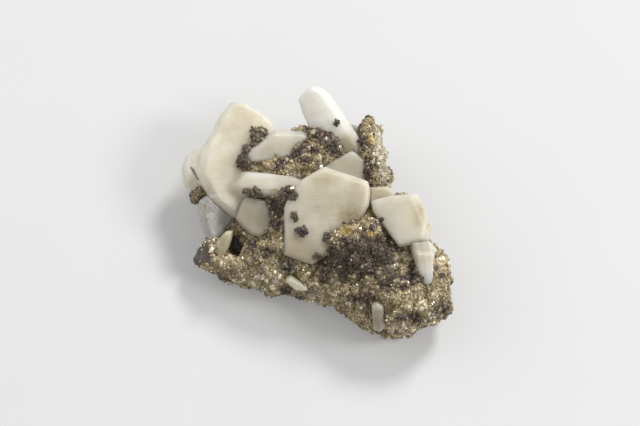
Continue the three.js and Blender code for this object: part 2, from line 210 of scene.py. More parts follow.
# Stray grains of the other colour among the crust's grains
STRAY_SPACING = 1.7
STRAY_SCATTER = 0.3
STRAY_STRENGTH = 0.8
DARK_STRAYS = (0.57, 0.68)
BRASSY_STRAYS = 0.36
BRASSY_STRAYS_EDGE = 0.08
BRASSY_STRAYS_LOST = 0.75
# The share of dark balls where the crust isn't dark, and the shares of brassy grains that are lost on dark
# crust, on slate and painted shade, and on pale crust
STRAY_BALLS = 0.12
GRAINS_LOST = {"dark": 0.8, "slate": 0.97, "pale": 0.35}
# The most triangles of one piece of grains
LARGEST_PIECE = 190000


class Grains(NamedTuple):
    """A kind of grain: its look, its smallest and largest radius in millimetres, how uneven and how flat it
    can be, how far out it lies in radii, how finely its ball is divided and whether it looks smooth, how dark
    it is on bright and on dark crust, and the seed of its numbers."""

    look: str
    radii: tuple
    unevenness: float
    flatness: float
    lift: float
    divisions: int
    smooth: bool
    darkness: tuple
    seed: int


GRAINS = {
    "brassy_flakes": Grains(GRAIN_LOOK, (0.5, 1.15), 0.3, 0.35, 0.0, 1, False, (0, 0.6), 6),
    "brassy_grains": Grains(GRAIN_LOOK, (0.25, 0.6), 0.3, 0.45, 0.1, 1, False, (0, 0.7), 7),
    "large_balls": Grains(BALL_LOOK, (0.6, 1.2), 0.2, 0.55, 0.0, 2, False, (0.3, 1), 8),
    "small_balls": Grains(BALL_LOOK, (0.25, 0.6), 0.3, 0.5, 0.5, 1, False, (0.3, 1), 9),
    "clump_balls": Grains(BALL_LOOK, (0.4, 0.62), 0.08, 0.8, 0.0, 2, True, CLUMP_DARKNESS, 10),
    "heap_balls": Grains(BALL_LOOK, (0.4, 0.75), 0.1, 0.8, 0.4, 2, True, (0.85, 1), 11),
    "creeping_grains": Grains(GRAIN_LOOK, (0.35, 0.75), 0.3, 0.5, 0.4, 1, False, (0, 0.8), 12),
    "creeping_balls": Grains(BALL_LOOK, (0.35, 0.75), 0.2, 0.6, 0.4, 2, False, (0.4, 1), 13),
}

# Guessed dark crust on the sides that the photograph doesn't show
HIDDEN_START = 0.2
HIDDEN_SPAN = 0.3
GUESSED_SPACING = 9
GUESSED_START = 0.52
GUESSED_SPAN = 0.1
# How far from a lump's middle the hollow between lumps starts, and over what width, in lump spacings
HOLLOW_START = 0.42
HOLLOW_SPAN = 0.4
# The share of darkness that pale and bright crust takes away
PALE_OVER_DARK = 0.85
BRIGHT_OVER_DARK = 0.6
# The noise on the patches' ragged edges: its spacing in millimetres, strength and seed
EDGE_NOISES = ((2.4, 0.6, 31), (1.1, 0.7, 33))
# Where a patch ends, and how wide its edge is, in its own half widths
PATCH_REACH = 1.15
PATCH_EDGE = 0.45

# Light: a part of the floor's light is a glow of its own, so that the shadow on it stays pale
FLOOR_GLOW = 0.155
WORLD_LIGHT = 0.43
# The lights: direction, distance and size in metres, power in watts
LIGHTS = {
    "right key": ((1.3, -0.12, 1), 2, 0.65, 17),
    "back key": ((0.6, 0.85, 1), 2, 0.55, 28),
    "fill": ((-1, 0.3, 0.7), 1.6, 1.6, 6.5),
}
# The floor reaches this many metres to each side, in shades between these two
FLOOR_REACH = 2
FLOOR_SHADES = ((0.53, 0.53, 0.53, 1), (0.54, 0.54, 0.54, 1))

# Patches of the crust, in millimetres of the view: middle right, middle up, half width, half height
DARK_PATCHES = (
    (14.0, -13.0, 13.6, 7.9),
    (21.0, -21.6, 5.2, 1.8),
    (4.5, -14.7, 5.0, 5.0),
    (27.0, -19.2, 4.0, 1.8),
    (26.4, -31.6, 5.0, 2.7),
    (36.3, -28.2, 3.2, 3.0),
    (13.0, -25.5, 4.5, 2.0),
    (-9.9, -16.2, 2.4, 2.0),
    (-16.2, -11.7, 2.6, 2.0),
    (-20.4, -9.3, 1.8, 2.4),
    (-18.3, -21.9, 1.6, 1.2),
    (-10.5, -23.1, 1.8, 1.5),
    (-5.7, -25.8, 2.0, 1.4),
    (-13.8, 1.4, 4.2, 3.0),
    (-12.9, -3.3, 2.2, 2.0),
    (0.6, -13.5, 2.6, 1.9),
    (2.1, -6.9, 1.4, 1.6),
    (-19.5, 23.4, 4.5, 3.2),
    (-23.7, 17.4, 2.4, 3.6),
    (-21.9, 13.8, 2.0, 2.0),
    (-10.5, 14.2, 3.6, 1.5),
    (-8.1, 18.3, 2.6, 2.4),
    (-3.4, 19.2, 3.0, 1.5),
    (-4.6, 16.2, 2.4, 1.1),
    (0.9, 22.9, 3.9, 2.8),
    (3.3, 19.5, 2.8, 2.4),
    (13.2, 21.5, 1.9, 3.3),
    (14.7, 12.3, 1.7, 5.0),
    (-9.2, 5.8, 2.2, 1.4),
    # Painted shade: the dark hollow beside the left blade
    (-25.2, -9.6, 2.0, 3.0),
    (-6.9, -1.2, 1.8, 1.8),
    (-5.4, -5.4, 2.6, 1.8),
    (5.1, 27.3, 1.4, 1.4),
    (8.7, -25.4, 2.0, 1.3),
    (35.1, -17.8, 2.2, 1.8),
    (27.2, -16.0, 1.5, 2.6),
    (-20.0, -19.2, 1.2, 0.9),
    (-16.5, -18.6, 1.1, 0.8),
    (1.5, -19.6, 2.2, 1.5),
    (-31.0, -20.0, 2.4, 1.0),
    (-25.0, -22.6, 1.3, 0.8),
)
# Knobs of the rock that are lowered, so that they leave the crystals bare: middle right, middle up, radius
LOWERED_PLACES = ((-12.6, 16.6, 2.2),)
LOWERED_DEPTH = 1.4
LOWERED_REACH = 1.2
LOWERED_EDGE = 0.7
# Heaps of balls that sit on crystals and rock: middle right, middle up, half width, half height
BALL_HEAPS = (
    (-20.2, 6.0, 3.0, 1.6),
    (-9.2, 5.2, 2.8, 1.4),
    (-22.4, 18.8, 1.3, 1.7),
    (-23.4, 15.9, 1.2, 1.6),
    (2.0, -7.3, 0.9, 1.7),
    (21.2, 13.8, 0.5, 2.6),
    (19.9, 24.5, 0.5, 1.6),
    (18.6, -1.8, 0.6, 0.6),
    (-0.6, -12.9, 1.4, 0.8),
)
PALE_PATCHES = (
    (18.8, 17.5, 2.7, 10.0),
    (-8.1, 11.5, 2.4, 1.2),
)
BRIGHT_PATCHES = (
    (4.8, -24.9, 3.2, 2.0),
    (24.6, -12.9, 2.6, 1.6),
    (30.0, -26.0, 6.5, 4.0),
    (24.0, -34.0, 5.0, 2.2),
    (35.4, -15.0, 2.6, 4.0),
    (-26.0, -15.5, 4.6, 2.4),
    (-23.5, -21.5, 5.0, 1.8),
    (-17.0, -19.4, 7.2, 4.2),
    (-8.0, -21.0, 6.0, 2.0),
    (-8.6, 14.0, 2.2, 1.3),
    (-12.0, -9.0, 5.0, 1.6),
    (-1.5, -26.2, 4.2, 2.4),
)
STAIN_PATCHES = (
    (15.3, 22.2, 1.0, 1.4),
    (15.3, -6.3, 1.3, 1.0),
    (8.1, -5.1, 2.0, 1.2),
    (-13.5, 6.4, 1.6, 0.7),
)
SLATE_AND_SHADE_PATCHES = (
    (-36.4, -11.8, 4.0, 5.6),
    # A dark sheet of painted shade in the hollow beside the left blade
    (-25.4, -9.6, 1.5, 2.4),
)

# Painted shade on the crystals: darker places where their faces lie in shade and where the rock below darkens
# them; the same four lengths, then how strong
PAINTED_SHADE_PLACES = {
    "barite_middle_blade": (
        (-6.5, -13.0, 11.0, 9.0, 0.85),
        (6.0, -6.5, 6.0, 4.0, 0.4),
        (10.0, -1.0, 6.5, 6.5, 0.75),
        (11.0, 6.0, 5.0, 6.0, 0.4),
        (1.5, 3.0, 7.0, 7.0, 0.25),
        (2.0, 10.6, 7.0, 3.2, 0.4),
    ),
    "barite_grey_blade": ((-19.5, -0.5, 9.0, 9.0, 0.4), (-18.0, -1.5, 4.0, 5.0, 0.6)),
    "barite_back_blade": ((7.0, 14.0, 12.0, 8.0, 0.32),),
    "barite_upper_blade": ((8.5, 20.5, 5.0, 4.5, 0.8),),
    "barite_front_prism": ((17.4, -32.4, 3.0, 5.0, 0.4),),
    "barite_hollow_blade": ((-7.0, 18.0, 5.0, 4.0, 0.45), (-15.0, 18.0, 9.0, 5.0, 0.2)),
    "barite_foot_blade": ((17.4, 5.4, 7.0, 6.0, 0.75),),
    "barite_stepped_blade": ((30.5, -12.6, 4.0, 3.0, 0.25),),
    "barite_left_blade": ((-29.5, -8.5, 5.0, 5.0, 0.5),),
    "barite_large_blade": ((-27.0, 9.0, 10.0, 7.0, 0.12), (-25.0, 28.0, 9.0, 9.0, 0.2)),
    "barite_square_blade": ((29.6, -0.6, 2.6, 5.5, 0.55),),
    "barite_clear_crystal": ((-29.4, -2.4, 3.0, 5.0, 0.4),),
}
# Painted light on the crystals: whiter places where light leaves them, painted highlights, and lighter colour
# on bevels turned away from the lights
PAINTED_LIGHT_PLACES = {
    "barite_large_blade": (
        (-37.2, 13.8, 1.6, 3.6, 0.8),
        (-32.4, 5.1, 3.9, 0.8, 0.9),
        (-17.4, 11.4, 6.0, 1.5, 0.7),
        (-35.4, 18.0, 2.8, 5.5, 0.5),
        (-32.4, 25.0, 2.8, 5.5, 0.45),
        (-28.8, 30.5, 2.8, 4.4, 0.35),
        (-39.4, 14.5, 2.5, 5.0, 0.5),
        (-35.7, 9.3, 2.5, 2.5, 0.5),
    ),
    "barite_upper_blade": ((1.5, 33.0, 6.0, 6.0, 0.3), (3.0, 27.0, 6.0, 5.0, 0.85)),
    "barite_left_blade": ((-30.8, -9.2, 1.6, 3.2, 0.5),),
    "barite_stepped_blade": ((31.4, -19.6, 3.5, 4.5, 0.85),),
    "barite_front_chip": ((-7.0, -21.6, 4.0, 3.0, 0.15),),
    "barite_clear_crystal": ((-31.8, -0.9, 1.5, 4.2, 0.65), (-36.0, -0.5, 2.6, 4.6, 1.0)),
    "barite_square_blade": ((22.5, -3.0, 7.0, 7.0, 0.25),),
    "barite_middle_blade": ((9.5, 12.5, 4.0, 1.5, 0.2),),
}
# Ochre stains on the crystals
OCHRE_PLACES = {
    "barite_large_blade": ((-13.5, 6.8, 2.6, 0.7, 0.7),),
    "barite_middle_blade": ((9.5, -1.2, 5.0, 2.8, 0.8), (6.0, -8.0, 3.5, 2.2, 0.5)),
    "barite_square_blade": ((30.3, 1.5, 1.2, 4.5, 0.45), (32.2, -3.6, 1.0, 3.0, 0.7)),
    "barite_left_blade": ((-30.0, -8.0, 2.0, 3.0, 0.5),),
    "barite_stepped_blade": ((31.4, -20.0, 3.0, 4.0, 0.25),),
    "barite_clear_crystal": ((-34.0, 2.0, 1.6, 2.6, 0.7),),
}
# Dirt in the crystals
DIRTY_PLACES = {
    "barite_clear_crystal": ((-32.4, 0.0, 3.4, 5.0, 0.5),),
    "barite_front_prism": ((17.4, -32.4, 2.6, 5.0, 0.35),),
}
# A dark open crack across the large blade's left corner: right and up
CRACK_NODE = "barite_large_blade"
CRACK = ((-38.9, 13.6), (-38.0, 12.5), (-37.8, 11.9), (-36.6, 10.2))


def view_place(points):
    """How far right and up points in metres are in the photograph's view, in millimetres from its middle."""
    local = points / MM - MIDDLE
    return local @ RIGHT, local @ UP


def lattice_number(cells, seed):
    """A number from 0 to 1 for each cell of a grid, the same in every run."""
    x, y, z = cells.astype(np.int64).T
    mixed = (x * 73856093) ^ (y * 19349663) ^ (z * 83492791) ^ (seed * 668265263)
    for shift, factor in ((13, 1274126177), (15, 374761393)):
        mixed = ((mixed ^ (mixed >> shift)) * factor) & 0x7FFFFFFF
    return ((mixed >> 8) & 0xFFFF) / 0xFFFF


def smooth_noise(points, spacing, seed):
    """Soft noise from 0 to 1 whose features are about one spacing wide."""
    scaled = points / (spacing * MM)
    low = np.floor(scaled)
    part = scaled - low
    part = part * part * (3 - 2 * part)
    total = np.zeros(len(points))
    for corner in np.ndindex(2, 2, 2):
        weight = np.prod(np.where(corner, part, 1 - part), axis=1)
        total += weight * lattice_number(low + corner, seed)
    return total


def cell_distance(points, spacing, seed):
    """The distance to the nearest of many scattered seeds, in spacings."""
    scaled = points / (spacing * MM)
    low = np.floor(scaled)
    nearest = np.full(len(points), np.inf)
    for step in np.ndindex(3, 3, 3):
        cell = low + step - 1
        seeds = [cell[:, axis] + lattice_number(cell, seed + axis) for axis in range(3)]
        nearest = np.minimum(nearest, ((scaled - np.column_stack(seeds)) ** 2).sum(axis=1))
    return np.sqrt(nearest)


def patch_strength(points, patches):
    """From 0 outside every patch to 1 well inside one."""
    right, up = view_place(points)
    edge = np.zeros(len(points))
    for spacing, most, seed in EDGE_NOISES:
        edge += most * (smooth_noise(points, spacing, seed) - 0.5)
    strength = np.zeros(len(points))
    for middle_right, middle_up, half_width, half_height in patches:
        reach = np.hypot((right - middle_right) / half_width, (up - middle_up) / half_height)
        strength = np.maximum(strength, np.clip((PATCH_REACH + edge - reach) / PATCH_EDGE, 0, 1))
    return strength


def soft_strength(points, places):
    """From 0 outside every place to its own strength at its middle, with very soft edges."""
    right, up = view_place(points)
    strength = np.zeros(len(points))
    for middle_right, middle_up, half_width, half_height, most in places:
        reach = np.hypot((right - middle_right) / half_width, (up - middle_up) / half_height)
        part = np.clip(PATCH_REACH - reach, 0, 1)
        strength = np.maximum(strength, most * part * part * (3 - 2 * part))
    return strength


def crack_distance(points):
    """How far points are from the crack in the photograph's view, in millimetres."""
    place = np.column_stack(view_place(points))
    nearest = np.full(len(points), np.inf)
    for start, end in zip(np.array(CRACK), np.array(CRACK)[1:]):
        along = end - start
        share = np.clip((place - start) @ along / (along @ along), 0, 1)
        nearest = np.minimum(nearest, np.linalg.norm(place - start - share[:, None] * along, axis=1))
    return nearest


def crust_masks(points, normals):
    """How dark, pale, bright and stained the crust is, where it is slate and painted shade, and how deep
    between lumps.
    """
    hidden = np.clip(HIDDEN_START - normals @ TOWARDS, 0, HIDDEN_SPAN) / HIDDEN_SPAN
    guessed = np.clip((smooth_noise(points, GUESSED_SPACING, seed=5) - GUESSED_START) / GUESSED_SPAN, 0, 1)
    dark = np.maximum(patch_strength(points, DARK_PATCHES), hidden * guessed)
    pale = patch_strength(points, PALE_PATCHES)
    bright = patch_strength(points, BRIGHT_PATCHES)
    # The hollows between lumps, where the crust is lowered and also darkened as painted shade
    between = np.clip((cell_distance(points, LUMP_SPACING, seed=51) - HOLLOW_START) / HOLLOW_SPAN, 0, 1)
    return {
        "dark": dark * (1 - PALE_OVER_DARK * pale) * (1 - BRIGHT_OVER_DARK * bright),
        "pale": pale,
        "bright": bright,
        "stain": patch_strength(points, STAIN_PATCHES),
        "slate": patch_strength(points, SLATE_AND_SHADE_PATCHES),
        "hollow": between,
    }


def mesh_arrays(mesh):
    """A mesh's vertices, vertex normals and triangles."""
    vertices = np.empty(len(mesh.vertices) * 3)
    mesh.vertices.foreach_get("co", vertices)
    normals = np.empty(len(mesh.vertices) * 3)
    mesh.vertices.foreach_get("normal", normals)
    mesh.calc_loop_triangles()
    triangles = np.empty(len(mesh.loop_triangles) * 3, dtype=np.int32)
    mesh.loop_triangles.foreach_get("vertices", triangles)
    return vertices.reshape(-1, 3), normals.reshape(-1, 3), triangles.reshape(-1, 3)


def set_points(mesh, vertices):
    """Moves a mesh's points and shades it smoothly."""
    mesh.vertices.foreach_set("co", vertices.ravel())
    mesh.update()
    mesh.polygons.foreach_set("use_smooth", np.full(len(mesh.polygons), True))


def add_piece(name, mesh, material):
    """A shown piece that rides on the specimen's body."""
    piece = bpy.data.objects.new(name, mesh)
    bpy.context.scene.collection.objects.link(piece)
    mesh.materials.clear()
    mesh.materials.append(material)
    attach(piece, BODY)
    return piece


def triangle_mesh(name, vertices, triangles, smooth):
    """A mesh from arrays of points in metres and triangles."""
    mesh = bpy.data.meshes.new(name)
    mesh.vertices.add(len(vertices))
    mesh.vertices.foreach_set("co", vertices.ravel())
    mesh.loops.add(len(triangles) * 3)
    mesh.loops.foreach_set("vertex_index", triangles.ravel())
    mesh.polygons.add(len(triangles))
    mesh.polygons.foreach_set("loop_start", np.arange(0, len(triangles) * 3, 3, dtype=np.int32))
    mesh.polygons.foreach_set("use_smooth", np.full(len(triangles), smooth))
    mesh.update(calc_edges=True)
    return mesh


def add_numbers(mesh, numbers):
    """Keeps arrays of numbers with the mesh's points, where its material reads them by name."""
    for name, values in numbers.items():
        layer = mesh.attributes.new(name, "FLOAT", "POINT")
        layer.data.foreach_set("value", np.asarray(values, dtype=np.float32))


def soft_grade(values, low, high):
    """The values moved from low..high to 0..1 with soft ends."""
    part = np.clip((values - low) / (high - low), 0, 1)
    return part * part * (3 - 2 * part)


def joined_tree(names):
    """A search tree of several nodes' surfaces."""
    vertices, triangles, start = [], [], 0
    for name in names:
        points, _, faces = mesh_arrays(frame["nodes"][name].data)
        vertices.append(points)
        triangles.append(faces + start)
        start += len(points)
    return BVHTree.FromPolygons(np.vstack(vertices).tolist(), np.vstack(triangles).tolist())


CRYSTAL_NODES = sorted(name for name in frame["nodes"] if name.startswith(CRYSTAL_PREFIX))
crystals = joined_tree(CRYSTAL_NODES)
everything = joined_tree(sorted(frame["nodes"]))


def crystal_clearance(point):
    """How far a point is outside the crystals, in millimetres, or below zero inside one."""
    near, normal, _, distance = crystals.find_nearest(Vector(point))
    outside = (Vector(point) - near).dot(normal) >= 0
    return distance / MM if outside else -distance / MM


def covered(point, normal):
    """Whether a crystal lies close over this place of the rock."""
    start = Vector(point) + Vector(normal) * COVER_START * MM
    return crystals.ray_cast(start, Vector(normal), COVER_REACH * MM)[0] is not None


def fine_copy(name, node_names, spacing, rounds=CRUST_ROUNDS, swell=0.0):
    """One even, fine mesh of some nodes' solids. Swelling and shrinking it again fills its narrow grooves."""
    builder = bmesh.new()
    for node_name in node_names:
        builder.from_mesh(frame["nodes"][node_name].data)
    mesh = bpy.data.meshes.new(name)
    builder.to_mesh(mesh)
    builder.free()
    carrier = bpy.data.objects.new(name + "_carrier", mesh)
    bpy.context.scene.collection.objects.link(carrier)
    for offset in (swell, -swell) if swell else (0.0,):
        remesh = carrier.modifiers.new("fine", "REMESH")
        remesh.mode = "VOXEL"
        remesh.voxel_size = spacing * MM
        if offset:
            move = carrier.modifiers.new("move", "DISPLACE")
            move.mid_level = 0
            move.strength = offset * MM
    smooth = carrier.modifiers.new("round", "SMOOTH")
    smooth.iterations = rounds
    evaluated = carrier.evaluated_get(bpy.context.evaluated_depsgraph_get())
    fine = bpy.data.meshes.new_from_object(evaluated)
    bpy.data.objects.remove(carrier)
    bpy.data.meshes.remove(mesh)
    fine.name = name
    return fine


def inside_box(vertices):
    """Points moved by no more than needed to stay in the solid model's box."""
    return np.clip(vertices, np.array(CAD_LOW), np.array(CAD_HIGH))


def crusted(mesh, darkness=(0, 1)):
    """Moves a fine mesh's points into a crust's knobs and grit, and keeps their numbers for the material."""
    vertices, normals, _ = mesh_arrays(mesh)
    masks = crust_masks(vertices, normals)
    masks["dark"] = darkness[0] + (darkness[1] - darkness[0]) * masks["dark"]
    knobs = 1 - np.clip(cell_distance(vertices, KNOB_SPACING, seed=11), 0, 1) ** 2
    grit = smooth_noise(vertices, GRIT_SPACING, seed=17) - 0.5
    rise = KNOB_RELIEF * (knobs - KNOB_MIDDLE) + 2 * GRIT_RELIEF * grit - LUMP_RELIEF * masks["hollow"]
    rise *= 1 - SLATE_EVENNESS * masks["slate"]
    clearance = np.array([crystal_clearance(point) for point in vertices])
    room = np.clip((clearance - CRYSTAL_MARGIN) / CRYSTAL_CLEARANCE, 0, 1)
    rise = rise * room + SEAM_FILL * (1 - room)
    right, up = view_place(vertices)
    for middle_right, middle_up, radius in LOWERED_PLACES:
        away = np.hypot(right - middle_right, up - middle_up) / radius
        rise -= LOWERED_DEPTH * soft_grade(LOWERED_REACH - away, 0, LOWERED_EDGE) * (normals @ TOWARDS > 0)
    underside = (vertices[:, 2] < UNDERSIDE_HEIGHT * MM) & (normals[:, 2] < UNDERSIDE_FACING)
    rise = np.where(underside, -UNDERSIDE_SINK * np.abs(rise), rise)
    set_points(mesh, inside_box(vertices + normals * rise[:, None] * MM))
    add_numbers(mesh, masks)
    # The pits between knobs, which the rock's material darkens as painted shade
    add_numbers(mesh, {"pit": 1 - knobs})
    return mesh


def spaced(places, normals, spacing):
    """The places, in their order, that keep a spacing from all that are already taken."""
    taken, keep = {}, []
    cells = np.floor(places / (spacing * MM)).astype(int)
    for index, (cell, place) in enumerate(zip(map(tuple, cells), places)):
        if all(
            np.dot(place - other, place - other) >= (spacing * MM) ** 2
            for step in np.ndindex(3, 3, 3)
            for other in taken.get((cell[0] + step[0] - 1, cell[1] + step[1] - 1, cell[2] + step[2] - 1), ())
        ):
            taken.setdefault(cell, []).append(place)
            keep.append(index)
    return places[keep], normals[keep]


def scattered(mesh, spacing, seed, chance):
    """Places on a mesh's surface with a spacing between them. chance gives how likely each place is kept."""
    random = np.random.default_rng(seed)
    vertices, _, triangles = mesh_arrays(mesh)
    corners = vertices[triangles]
    across = np.cross(corners[:, 1] - corners[:, 0], corners[:, 2] - corners[:, 0])
    doubled = np.linalg.norm(across, axis=1)
    count = int(SCATTER_TRIES * doubled.sum() / 2 / (spacing * MM) ** 2)
    chosen = random.choice(len(triangles), count, p=doubled / doubled.sum())
    first, second = random.random((2, count))
    flipped = first + second > 1
    first[flipped], second[flipped] = 1 - first[flipped], 1 - second[flipped]
    corner = corners[chosen]
    places = (
        corner[:, 0]
        + first[:, None] * (corner[:, 1] - corner[:, 0])
        + second[:, None] * (corner[:, 2] - corner[:, 0])
    )
    normals = across[chosen] / np.maximum(doubled[chosen], 1e-12)[:, None]
    kept = random.random(count) < chance(places, normals)
    return spaced(places[kept], normals[kept], spacing)


def round_shape(divisions):
    """The points and triangles of a ball of radius 1."""
    builder = bmesh.new()
    bmesh.ops.create_icosphere(builder, subdivisions=divisions, radius=1)
    points = np.array([vertex.co for vertex in builder.verts])
    triangles = np.array([[vertex.index for vertex in face.verts] for face in builder.faces])
    builder.free()
    return points, triangles


def random_turns(random, count):
    """Random rotations as 3 by 3 arrays."""
    axes = random.normal(size=(count, 4))
    w, x, y, z = (axes / np.linalg.norm(axes, axis=1)[:, None]).T
    rows = (
        (1 - 2 * (y * y + z * z), 2 * (x * y - z * w), 2 * (x * z + y * w)),
        (2 * (x * y + z * w), 1 - 2 * (x * x + z * z), 2 * (y * z - x * w)),
        (2 * (x * z - y * w), 2 * (y * z + x * w), 1 - 2 * (x * x + y * y)),
    )
    return np.array(rows).transpose(2, 0, 1)


def with_strays(dark, places, random):
    """The crust's darkness at its grains, with strays of the other colour among them."""
    scatter = STRAY_SCATTER * (random.random(len(places)) - 0.5)
    speckle = smooth_noise(places, STRAY_SPACING, seed=71) + scatter
    strays = soft_grade(speckle, *DARK_STRAYS) - soft_grade(BRASSY_STRAYS - speckle, 0, BRASSY_STRAYS_EDGE)
    strays = np.where(strays < 0, 1 - BRASSY_STRAYS_LOST * dark, 1) * strays
    return np.clip(dark + STRAY_STRENGTH * strays, 0, 1)


def grain_pieces(name, places, normals):
    """Pieces of many small grains of one kind, each grain with its own size, turn and uneven shape."""
    kind = GRAINS[name]
    random = np.random.default_rng(kind.seed)
    points, triangles = round_shape(kind.divisions)
    smallest, largest = kind.radii
    sizes = (smallest + (largest - smallest) * random.random(len(places)) ** SIZE_SKEW) * MM
    places = places + normals * (sizes * kind.lift)[:, None]
    reach = GRAIN_REACH * sizes[:, None]
    fits = ((places - reach > np.array(CAD_LOW)) & (places + reach < np.array(CAD_HIGH))).all(axis=1)
    clear = np.array([crystal_clearance(place) for place in places]) > GRAIN_CLEARANCE * sizes / MM
    kept = fits & clear
    places, normals, sizes = places[kept], normals[kept], sizes[kept]
    count = len(places)
    radii = 1 + kind.unevenness * random.uniform(-1, 1, (count, len(points)))
    stretch = random.uniform(kind.flatness, 1.0, (count, 1, 3))
    vertices = points[None] * radii[..., None] * stretch
    vertices = np.einsum("nij,npj->npi", random_turns(random, count), vertices)
    vertices = vertices * sizes[:, None, None] + places[:, None, :]
    masks = crust_masks(places, normals)
    brightest, darkest = kind.darkness
    masks["dark"] = brightest + (darkest - brightest) * with_strays(masks["dark"], places, random)
    masks["tint"] = random.random(count)
    material = bpy.data.materials[kind.look]
    per_piece = LARGEST_PIECE // len(triangles)
    order = np.argsort(places[:, 0])
    for part, start in enumerate(range(0, count, per_piece)):
        members = order[start : start + per_piece]
        offsets = np.arange(len(members))[:, None, None] * len(points)
        mesh = triangle_mesh(
            f"{name}_{part + 1}",
            vertices[members].reshape(-1, 3),
            (triangles[None] + offsets).reshape(-1, 3).astype(np.int32),
            kind.smooth,
        )
        add_numbers(mesh, {key: np.repeat(values[members], len(points)) for key, values in masks.items()})
        add_piece(mesh.name, mesh, material)


class Nodes:
    """A material's node tree, with short calls for the nodes that the materials here share."""

    def __init__(self, name):
        self.material = bpy.data.materials.new(name)
        self.material.use_nodes = True
        self.tree = self.material.node_tree
        self.shader = self.tree.nodes["Principled BSDF"]
        self.place = self.tree.nodes.new("ShaderNodeTexCoord").outputs["Object"]

    def put(self, source, socket):
        """Links an output, or sets a plain value."""
        if isinstance(source, bpy.types.NodeSocket):
            self.tree.links.new(source, socket)
        else:
            socket.default_value = source

    def noise(self, size, detail=3, roughness=0.55):
        """Noise from 0 to 1 whose features are about size millimetres wide."""
        node = self.tree.nodes.new("ShaderNodeTexNoise")
        node.inputs["Scale"].default_value = 1 / (size * MM)
        node.inputs["Detail"].default_value = detail
        node.inputs["Roughness"].default_value = roughness
        self.put(self.place, node.inputs["Vector"])
        return node.outputs["Fac"]

    def growth_lines(self, width, length):
        """Noise from 0 to 1 drawn out sideways into faint parallel streaks."""
        stretch = self.tree.nodes.new("ShaderNodeMapping")
        stretch.inputs["Scale"].default_value = (width / length, 1, 1)
        self.put(self.place, stretch.inputs["Vector"])
        node = self.tree.nodes.new("ShaderNodeTexNoise")
        node.inputs["Scale"].default_value = 1 / (width * MM)
        node.inputs["Detail"].default_value = 3
        self.put(stretch.outputs["Vector"], node.inputs["Vector"])
        return node.outputs["Fac"]

    def cells(self, size):
        """Distance from the middles of scattered cells about size millimetres wide."""
        node = self.tree.nodes.new("ShaderNodeTexVoronoi")
        node.inputs["Scale"].default_value = 1 / (size * MM)
        self.put(self.place, node.inputs["Vector"])
        return node.outputs["Distance"]

    def number(self, name):
        """The number of that name kept with the mesh's points."""
        node = self.tree.nodes.new("ShaderNodeAttribute")
        node.attribute_name = name
        return node.outputs["Fac"]

    def ramp(self, source, low, high, start=0.0, end=1.0):
        """The source moved from low..high to start..end."""
        node = self.tree.nodes.new("ShaderNodeMapRange")
        self.put(source, node.inputs["Value"])
        self.put(low, node.inputs["From Min"])
        self.put(high, node.inputs["From Max"])
        self.put(start, node.inputs["To Min"])
        self.put(end, node.inputs["To Max"])
        return node.outputs["Result"]

    def mix(self, share, first, second):
        """A blend of two colours."""
        node = self.tree.nodes.new("ShaderNodeMix")
        node.data_type = "RGBA"
        self.put(share, node.inputs[0])
        self.put(first, node.inputs[6])
        self.put(second, node.inputs[7])
        return node.outputs[2]

    def math(self, operation, first, second):
        """A sum or another operation on two numbers."""
        node = self.tree.nodes.new("ShaderNodeMath")
        node.operation = operation
        self.put(first, node.inputs[0])
        self.put(second, node.inputs[1])
        return node.outputs[0]

    def bump(self, height, strength, distance):
        """Relief in the shading, distance in millimetres."""
        node = self.tree.nodes.new("ShaderNodeBump")
        node.inputs["Strength"].default_value = strength
        node.inputs["Distance"].default_value = distance * MM
        self.put(height, node.inputs["Height"])
        self.put(node.outputs["Normal"], self.shader.inputs["Normal"])


# Colours as linear light
GOLD_DEEP = (0.19, 0.14, 0.072, 1)
GOLD = (0.54, 0.44, 0.255, 1)
GOLD_LIGHT = (0.97, 0.89, 0.7, 1)
OLIVE = (0.3, 0.265, 0.12, 1)
DARK_OLIVE = (0.1, 0.088, 0.05, 1)
PURPLE_DEEP = (0.036, 0.025, 0.021, 1)
PURPLE = (0.115, 0.08, 0.064, 1)
PURPLE_LIGHT = (0.25, 0.205, 0.175, 1)
QUARTZ_DEEP = (0.32, 0.27, 0.19, 1)
QUARTZ = (0.7, 0.64, 0.52, 1)
STAIN = (0.5, 0.36, 0.1, 1)
# The slate's colour, which also paints shade as a dark sheet in the hollow beside the left blade
SLATE = (0.1, 0.083, 0.075, 1)
SLATE_SCRATCH = (0.42, 0.39, 0.36, 1)
# Light colour, deep colour for clouds, growth lines and painted shade, transmission, roughness, milkiness
BARITE_LOOKS = {
    "milky barite": ((0.82, 0.77, 0.62, 1), (0.48, 0.41, 0.285, 1), 0.28, 0.42, 0.95),
    # Lighter than milky barite: painted light where the floor's light shines through the thin upper blade
    "white barite": ((0.88, 0.86, 0.795, 1), (0.52, 0.45, 0.31, 1), 0.22, 0.42, 0.95),
    # Darker than milky barite: grey barite with painted shade for blades in shade and with dark rock behind
    "greyish barite": ((0.75, 0.69, 0.535, 1), (0.39, 0.34, 0.24, 1), 0.42, 0.42, 0.8),
    "creamy barite": ((0.76, 0.71, 0.5, 1), (0.5, 0.44, 0.27, 1), 0.1, 0.42, 0.3),
    "clear barite": ((0.88, 0.87, 0.85, 1), (0.46, 0.45, 0.42, 1), 0.62, 0.14, 0.0),
}
# The colour of the painted light and painted highlights on the crystals
WHITE = (0.97, 0.93, 0.83, 1)
OCHRE = (0.34, 0.24, 0.09, 1)
DIRT = (0.03, 0.024, 0.02, 1)
# How deep light goes into milky barite, in millimetres, and its other numbers
MILK_DEPTH = 9
MILK_RADIUS = (1, 1, 1)
BARITE_IOR = 1.64
BARITE_SHINE = 0.24
CLOUD_SHARE = 0.3
GROWTH_LINE_SHARE = 0.14
# How dark the painted shade in the hollows between lumps is, and how much lighter the bright patches are
HOLLOW_SHADE = 0.28
BRIGHT_LIFT = 0.25
# The most of these colours in the crust
OLIVE_SHARE = 0.55
DARK_OLIVE_SHARE = 0.7
STAIN_SHARE = 0.7
GRAIN_METAL = 0.35


